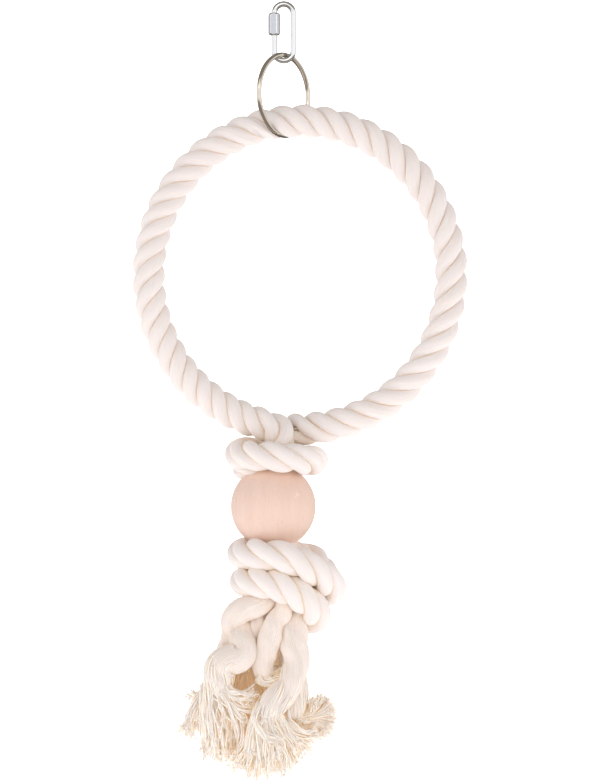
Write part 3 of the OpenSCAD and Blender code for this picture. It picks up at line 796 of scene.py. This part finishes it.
# the strands part a little where the right end leaves the hoop
spread = 1 + 0.07 * np.exp(-((s - s[b] - 4) / 8.0) ** 2)
top_i = int(np.argmax(line[:, 2]))
first = carry(line[:top_i + 1][::-1], np.array([0.0, 0.0, 1.0]))[1][-1]
rope = lay_rope([f"rope_strand_{k}" for k in (1, 2, 3)], line, first, turns, env, ROPE, np.random.default_rng(11), post=seat, spread=spread)
for k, ob in enumerate(rope):
    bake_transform(ob)
    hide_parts(f"ring_strand_{k + 1}")
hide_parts("neck_left")
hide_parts("neck_right")

# collar: a turn of rope round both ends
collar_pts = [(3, 8, -261.5), (-8, 16.5, -263), (-19, 15.5, -264.2), (-25.6, 6.5, -265.4), (-25.0, -5.5, -266.2), (-17.5, -15.5, -266.6), (-4.6, -19.8, -267.2), (8.6, -16.6, -268.6),
              (16.6, -6.2, -269.6), (16.8, 6, -270), (8.4, 16.4, -270.4), (-5, 19.5, -271.2), (-17, 15.6, -272.6), (-24.2, 7, -274.2), (-24.5, -2.0, -275.2), (-18.5, -6.5, -274.6), (-12, -4, -272)]
line, u, s = curve(collar_pts, 1.5)
env = np.interp(u, [0, 1, 2.5, 10.5, 12.5, 14, 16], [6, 8.0, 9.0, 9.0, 7.0, 5.4, 4.6])
turns, _ = turns_from(line, np.array([0, 0, 1.0]), [(253.6, 454), (275.5, 454), (301, 458.5)], 42.0)
collar = lay_rope([f"collar_strand_{k}" for k in (1, 2, 3)], line, np.array([0, 0, 1.0]), turns, env, ROPE, np.random.default_rng(12), flat=1.03, fat=0.478, wobble=0.25)
for ob in collar:
    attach(ob, "pendant")
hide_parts("collar_turn")
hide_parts("rope_end_left")
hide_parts("rope_end_right")

# knot: two turns, each sloping down to the right in front
knot_pts = [(-6.2, 3, -306), (-7, 5, -314), (-10, 11, -320.5), (-16, 16.5, -324), (-22.6, 10.5, -325.0), (-24.8, -0.5, -325.2), (-21, -12.0, -324.8), (-11.5, -20.0, -324.8), (1.6, -23, -326.6), (14.6, -20.6, -332.2),
            (24.8, -12.2, -339.6), (28.2, 0, -345.8), (23.4, 12.5, -348.5), (10, 20.5, -347.5), (-7.5, 21.5, -344.6), (-18.0, 15.5, -342.8), (-22.6, 5, -341.8), (-22.0, -7, -341.2), (-15.5, -16, -341.2), (-4.0, -20.4, -343.0),
            (7.6, -20.2, -348.0), (16.2, -15.8, -355.0), (19.2, -7, -361.6), (15, 2.5, -364.6), (6, 6.5, -361), (1, 4.5, -352)]
line, u, s = curve(knot_pts, 1.5)
env = np.interp(u, [0, 2, 4, 8, 14, 20, 22.5, 24, 25], [6.2, 7.6, 9.0, 9.5, 9.3, 9.5, 9.2, 8.0, 6.0])
turns, _ = turns_from(line, np.array([1.0, 0, 0]), [(260.4, 553), (287, 555), (312, 563), (260.4, 581.5), (279.6, 580.5), (303, 586)], 44.0)
knot = lay_rope([f"knot_strand_{k}" for k in (1, 2, 3)], line, np.array([1.0, 0, 0]), turns, env, ROPE, np.random.default_rng(13), flat=1.05, fat=0.482, wobble=0.25)
for ob in knot:
    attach(ob, "pendant")
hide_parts("knot_upper_turn")
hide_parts("knot_lower_turn")

# the other end comes out of the ball behind the first turn and goes down into the knot
line, u, s = curve([(-5, 3, -306), (-3, 4, -315), (3, 8, -322.5), (12, 11, -325.5), (20, 10, -329.5), (24.5, 6, -336.5), (21, 1, -343.5), (12, -1, -347)], 1.5)
env = np.interp(u, np.arange(8), [5, 5.5, 6, 7.0, 7.5, 7.4, 6.6, 5])
cross = lay_rope([f"knot_cross_{k}" for k in (1, 2, 3)], line, np.array([1.0, 0, 0]), 0.8 + s / 44.0 * TAU, env, ROPE, np.random.default_rng(15), flat=1.08, fat=0.49, yarns=16)
for ob in cross:
    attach(ob, "pendant")

# and passes once more through the middle of the knot
line, u, s = curve([(-4, -2, -314), (4, -1, -324), (11, 1, -334), (13, 2, -344), (9, 2, -353)], 1.5)
env = np.interp(u, np.arange(5), [5, 7, 8.2, 8.2, 6])
inner = lay_rope([f"knot_pass_{k}" for k in (1, 2, 3)], line, np.array([1.0, 0, 0]), 0.3 + s / 44.0 * TAU, env, ROPE, np.random.default_rng(16), flat=1.08, fat=0.49, yarns=16)
for ob in inner:
    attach(ob, "pendant")

# the rope that runs down inside the knot
line, u, s = curve([(-6.2, 0, -300), (-5.6, -0.5, -316), (-2, -0.5, -330), (-0.5, -0.5, -344), (0, -1, -356), (0.2, -1.5, -363)], 1.5)
env = np.interp(u, [0, 1, 2, 3, 4, 5], [10.0, 10.5, 14.5, 14.5, 12.0, 7.0])
core = lay_rope([f"knot_heart_{k}" for k in (1, 2, 3)], line, np.array([1.0, 0, 0]), s / 60.0 * TAU, env, ROPE, np.random.default_rng(14), flat=1.2, yarns=16)
for ob in core:
    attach(ob, "pendant")

# ---------------------------------------------------------------- ball
ball_c, ball_r, bore = np.array([-6.25, 0, -297.2]), 25.25, 12.0
end_a = math.acos(bore / ball_r)
rows = []
edge = math.radians(2.6)
for a in np.linspace(end_a - edge, -(end_a - edge), 73):
    rows.append((ball_r * math.cos(a), ball_r * math.sin(a), 0.0))
top_z = ball_r * math.sin(end_a)


def rim(sign):
    """The rounded edge where the drilled hole leaves the ball."""
    a0 = end_a - edge
    p0 = np.array([ball_r * math.cos(a0), ball_r * math.sin(a0)])
    p2 = np.array([bore, top_z - 1.5])
    p1 = np.array([bore + 0.05, top_z + 0.02])
    q = []
    for k in np.linspace(0, 1, 7)[1:]:
        v = (1 - k) ** 2 * p0 + 2 * k * (1 - k) * p1 + k**2 * p2
        q.append((v[0], sign * v[1], k))
    return q


upper = rim(1)[::-1]
lower = rim(-1)
wall_up = [(bore, z, 1.0) for z in np.linspace(0, upper[0][1], 8)[:-1]]
wall_dn = [(bore, z, 1.0) for z in np.linspace(lower[-1][1], 0, 8)[1:-1]]
profile = np.array(wall_up + upper + rows + lower + wall_dn)
cols = 128
a = np.arange(cols) / cols * TAU
v = np.stack([profile[:, 0:1] * np.cos(a), profile[:, 0:1] * np.sin(a), np.repeat(profile[:, 1:2], cols, 1)], -1) + ball_c
nr = len(profile)
i, j = np.meshgrid(np.arange(nr), np.arange(cols), indexing="ij")
ii, jj = (i + 1) % nr, (j + 1) % cols
quads = np.stack([i * cols + j, ii * cols + j, ii * cols + jj, i * cols + jj], -1).reshape(-1, 4)
# painted light for the wood's colour: strong towards the top and bottom of the ball, and along the rounded rim and wall
# of the bore
painted_pole_light = np.clip((np.abs(profile[:, 1]) / ball_r - 0.62) / 0.28, 0, 1) ** 1.4
painted_pole_light = np.maximum(painted_pole_light * 0.75, profile[:, 2] * 0.9)
ball = new_mesh("wooden_ball_turned", v.reshape(-1, 3), quads, None, None, {"depth": np.repeat(painted_pole_light[:, None], cols, 1)})
place(ball, "ball", "beech_wood", WOOD, "wooden_ball")

# ---------------------------------------------------------------- metal
# hoop inside the rope
a = np.radians(np.arange(0, 360, 2.0))
hoop_line = np.stack([RING_C[0] + RING_A * np.sin(a), 0 * a, RING_C[1] + RING_B * np.cos(a)], 1)


def round_ring(name, line, radius, sides):
    """A closed loop of round wire."""
    t = unit(np.roll(line, -1, 0) - np.roll(line, 1, 0))
    mid = line.mean(0)
    e1 = unit(line - mid)
    e1 = unit(e1 - (e1 * t).sum(1, keepdims=True) * t)
    e2 = np.cross(t, e1)
    c = np.arange(sides) / sides * TAU
    rad = np.broadcast_to(np.asarray(radius, float).reshape(-1, 1), (len(line), 1))
    v = line[:, None, :] + rad[:, :, None] * (np.cos(c)[None, :, None] * e1[:, None, :] + np.sin(c)[None, :, None] * e2[:, None, :])
    n = len(line)
    i, j = np.meshgrid(np.arange(n), np.arange(sides), indexing="ij")
    ii, jj = (i + 1) % n, (j + 1) % sides
    return new_mesh(name, v.reshape(-1, 3), np.stack([i * sides + j, i * sides + jj, ii * sides + jj, ii * sides + j], -1).reshape(-1, 4))


place(round_ring("hoop_wire", hoop_line, 1.5, 14), "rope_ring", "hoop_steel", HOOP, "hoop_core")

# O-ring with its weld low down, beside the rope
a = np.radians(np.arange(0, 360, 1.5))
o_line = O_CENTRE + O_R * (np.sin(a)[:, None] * O_T + np.cos(a)[:, None] * np.array([0, 0, 1.0]))
off = (np.degrees(a) - 203.0) / 2.2
weld = 0.10 * np.exp(-off**2) - 0.05 * np.exp(-((np.abs(off) - 1.5) / 0.35) ** 2)
place(round_ring("welded_o_ring", o_line, O_WIRE + weld, 26), "o_ring", "nickel_ring", NICKEL, "o_ring")

# quick link: one bent wire with a gate on the left leg
LX, TOP_Z, LOW_Z, WIRE = 5.65, -3.9, -26.3, 1.75
link = [(-LX, z, 0) for z in np.arange(-6.6, TOP_Z, 0.12)]
link += [(-LX * math.cos(b), TOP_Z + LX * math.sin(b), 0) for b in np.linspace(0, math.pi, 60)]
link += [(LX, z, 0) for z in np.linspace(TOP_Z, LOW_Z, 26)[1:-1]]
link += [(LX * math.cos(b), LOW_Z - LX * math.sin(b), 0) for b in np.linspace(0, math.pi, 60)]
link += [(-LX, z, 0) for z in np.concatenate([np.linspace(LOW_Z, -20.5, 8)[1:], np.arange(-20.4, -11.45, 0.12)])]
link = np.array([(x, 0.0, z) for x, z, _ in link])
t = tangents(link)
e1 = np.tile(np.array([[0.0, -1.0, 0.0]]), (len(link), 1))
e2 = np.cross(t, e1)
sides = 30
c = np.arange(sides) / sides * TAU
left = (link[:, 0] < -LX + 0.01)
thread = left & (((link[:, 2] > -6.7) & (link[:, 2] < -4.2)) | ((link[:, 2] < -11.4) & (link[:, 2] > -16.5)))
cut = 0.15 * (0.5 + 0.5 * np.cos(TAU * link[:, 2:3] / 0.6 - c[None, :])) * thread[:, None]
rad = WIRE - cut
rad[0], rad[1], rad[2] = rad[0] - 0.30, rad[1] - 0.16, rad[2] - 0.06
rad[-1], rad[-2], rad[-3] = rad[-1] - 0.30, rad[-2] - 0.16, rad[-3] - 0.06
v = link[:, None, :] + rad[:, :, None] * (np.cos(c)[None, :, None] * e1[:, None, :] + np.sin(c)[None, :, None] * e2[:, None, :])
n = len(link)
verts = np.vstack([v.reshape(-1, 3), link[:1], link[-1:]])
wire = new_mesh("quick_link_wire", verts, grid_faces(n, sides), caps(n, sides, 0, n * sides, n * sides + 1))
place(wire, "quick_link", "zinc_steel", ZINC, "quick_link_body")

# sleeve nut: hex bar with turned ends and a plain bore
AF, Z0, Z1, BORE = 6.5, -16.9, -3.6, 1.81
cols = 192
a = np.arange(cols) / cols * TAU
h = np.mod(a - math.radians(22) + math.pi / 6, math.pi / 3) - math.pi / 6
hexr = AF / 2 / np.cos(h)
corner = AF / 2 / math.cos(math.pi / 6)
hexr = np.minimum(hexr, corner - 0.10 - 0.0 * h)
levels = [(BORE, Z0 + 0.35), (BORE + 0.25, Z0 + 0.05)]
prof = [("abs", BORE, Z0 + 0.5), ("abs", BORE + 0.28, Z0), ("abs", 2.55, Z0), ("abs", 2.75, Z0 + 0.04)]
for z in np.linspace(0.12, 1.35, 12):
    prof.append(("cone", 2.82 + z * 0.82, Z0 + z))
for z in np.linspace(Z0 + 1.7, Z1 - 1.7, 14):
    prof.append(("cone", 99, z))
for z in np.linspace(1.35, 0.12, 12):
    prof.append(("cone", 2.82 + z * 0.82, Z1 - z))
prof += [("abs", 2.75, Z1 - 0.04), ("abs", 2.55, Z1), ("abs", BORE + 0.28, Z1), ("abs", BORE, Z1 - 0.5)]
v = []
for kind, r, z in prof:
    rr = np.full(cols, r) if kind == "abs" else np.minimum(hexr, r)
    v.append(np.stack([-LX + rr * np.cos(a), rr * np.sin(a), np.full(cols, z)], -1))
v = np.array(v)
nr = len(prof)
i, j = np.meshgrid(np.arange(nr), np.arange(cols), indexing="ij")
ii, jj = (i + 1) % nr, (j + 1) % cols
quads = np.stack([i * cols + j, i * cols + jj, ii * cols + jj, ii * cols + j], -1).reshape(-1, 4)
nut = new_mesh("sleeve_nut_hex", v.reshape(-1, 3), quads)
place(nut, "sleeve_nut", "zinc_steel", ZINC, "quick_link_nut")



# ---------------------------------------------------------------- painted warm shade in the cotton
def paint_buried_shade(groups, cell=1.6):
    """Paints shade into the cotton's depth attribute where it lies deep among other cotton, from how open each place
    is: each group is objects, how full their vertices make a cell, and how strong the painted shade is.
    """
    packs = []
    for obs, full, strong in groups:
        for ob in obs:
            co = np.zeros(len(ob.data.vertices) * 3, np.float32)
            ob.data.vertices.foreach_get("co", co)
            co = co.reshape(-1, 3).astype(float) / MM
            low_part = co[:, 2] < -226
            packs.append((ob, co[low_part], full, strong, low_part))
    low = np.min([p[1].min(0) for p in packs], axis=0) - 36
    size = np.ceil((np.max([p[1].max(0) for p in packs], axis=0) + 36 - low) / cell).astype(int) + 1
    fill = np.zeros(size)
    for ob, co, full, strong, low_part in packs:
        n = np.zeros(size)
        np.add.at(n, tuple(((co - low) / cell).astype(int).T), 1.0)
        fill = np.maximum(fill, np.clip(n / full[0], 0, full[1]))
    near = np.zeros(size, bool)
    spots = np.argwhere(fill > 0)
    for d in np.ndindex(3, 3, 3):
        near[tuple((spots + np.array(d) - 1).T)] = True
    spots = np.argwhere(near)
    here = (spots + 0.5) * cell
    k = np.arange(48) + 0.5
    lat, lon = np.arccos(1 - 2 * k / 48), math.pi * (1 + 5**0.5) * k
    light, flat = np.zeros(len(spots)), fill.ravel()
    for d in np.stack([np.cos(lon) * np.sin(lat), np.sin(lon) * np.sin(lat), np.cos(lat)], 1):
        clear = np.ones(len(spots))
        for far in np.arange(2.2, 34, 1.6):
            i = np.clip(((here + d * far) / cell).astype(int), 0, size - 1)
            clear *= 1 - flat[(i[:, 0] * size[1] + i[:, 1]) * size[2] + i[:, 2]]
        light += clear * (1.0 - 0.25 * d[1])
    open_ = np.full(size, np.nan)
    open_[near] = light / 48
    for ob, co, full, strong, low_part in packs:
        q = (co - low) / cell - 0.5
        f = np.floor(q).astype(int)
        w = q - f
        total, weight = np.zeros(len(co)), np.zeros(len(co))
        for d in np.ndindex(2, 2, 2):
            d = np.array(d)
            g = np.prod(np.where(d, w, 1 - w), axis=1)
            e = open_[tuple(np.clip(f + d, 0, size - 1).T)]
            ok = ~np.isnan(e)
            total += np.where(ok, g * np.nan_to_num(e), 0)
            weight += np.where(ok, g, 0)
        e = total / np.maximum(weight, 1e-6)
        shade = strong[0] * np.clip((strong[1] - e) / strong[1], 0, 1) ** strong[2] * np.clip((-226 - co[:, 2]) / 12, 0, 1)
        at_ = ob.data.attributes["depth"]
        old = np.zeros(len(low_part), np.float32)
        at_.data.foreach_get("value", old)
        old[low_part] = 1 - (1 - old[low_part]) * (1 - shade)
        at_.data.foreach_set("value", old)


by_name = lambda *starts: [o for o in scene.objects if o.type == "MESH" and o.name.startswith(starts)]
paint_buried_shade([(by_name("tail_yarn_"), (5, 1.0), (0.46, 0.43, 1.1)),
      (by_name("frayed_end_5"), (30, 0.42), (0.82, 0.33, 1.5)),
      (by_name("frayed_end_6"), (30, 0.5), (1.0, 0.48, 0.9)),
      (by_name("frayed_end_1", "frayed_end_2", "frayed_end_3", "frayed_end_4"), (30, 0.5), (0.70, 0.37, 1.35)),
      (by_name("knot_strand_", "knot_heart_", "knot_cross_", "knot_pass_", "rope_strand_", "collar_strand_"), (5, 1.0), (0.42, 0.40, 1.4))])
